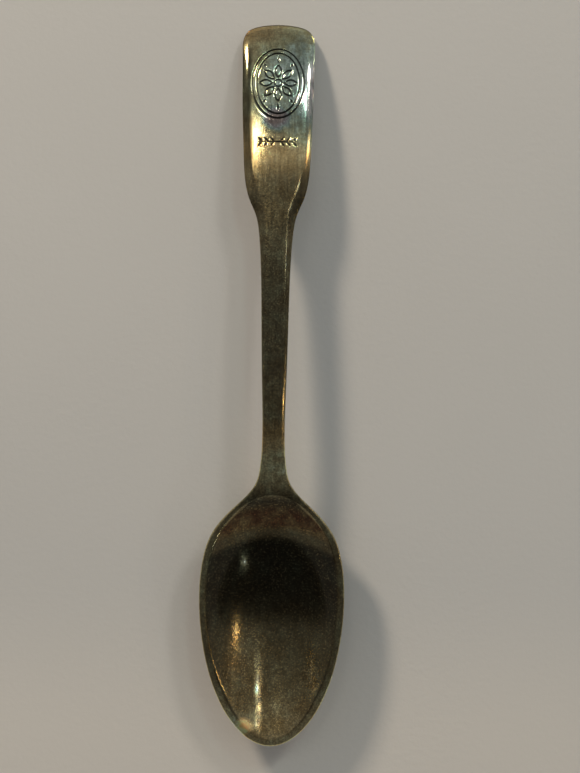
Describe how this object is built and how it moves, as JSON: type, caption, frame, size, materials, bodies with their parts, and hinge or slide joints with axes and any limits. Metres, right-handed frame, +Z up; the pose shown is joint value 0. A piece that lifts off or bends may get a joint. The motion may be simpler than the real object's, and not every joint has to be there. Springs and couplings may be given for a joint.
{
  "type": "souvenir spoon",
  "caption": "Small tarnished metal spoon with an egg-shaped bowl, a slim chamfered stem and a fiddle-shaped handle end struck with a flower medallion.",
  "frame": {"origin": "centre of the spoon's footprint, on the table that it lies on", "axes": "+Z up out of the open bowl, +Y from the bowl's tip towards the end of the handle, +X across the spoon"},
  "size_m": [0.0238, 0.12, 0.0093],
  "materials": {
    "tarnished_silver_plate": "silver plate on nickel silver or brass, polished once and now toned olive, brown, purple and black by tarnish, with fine scratches and specks"
  },
  "bodies": {
    "root": {"bowl": "tarnished_silver_plate", "neck": "tarnished_silver_plate", "stem": "tarnished_silver_plate", "handle_plate": "tarnished_silver_plate"}
  },
  "joints": []
}
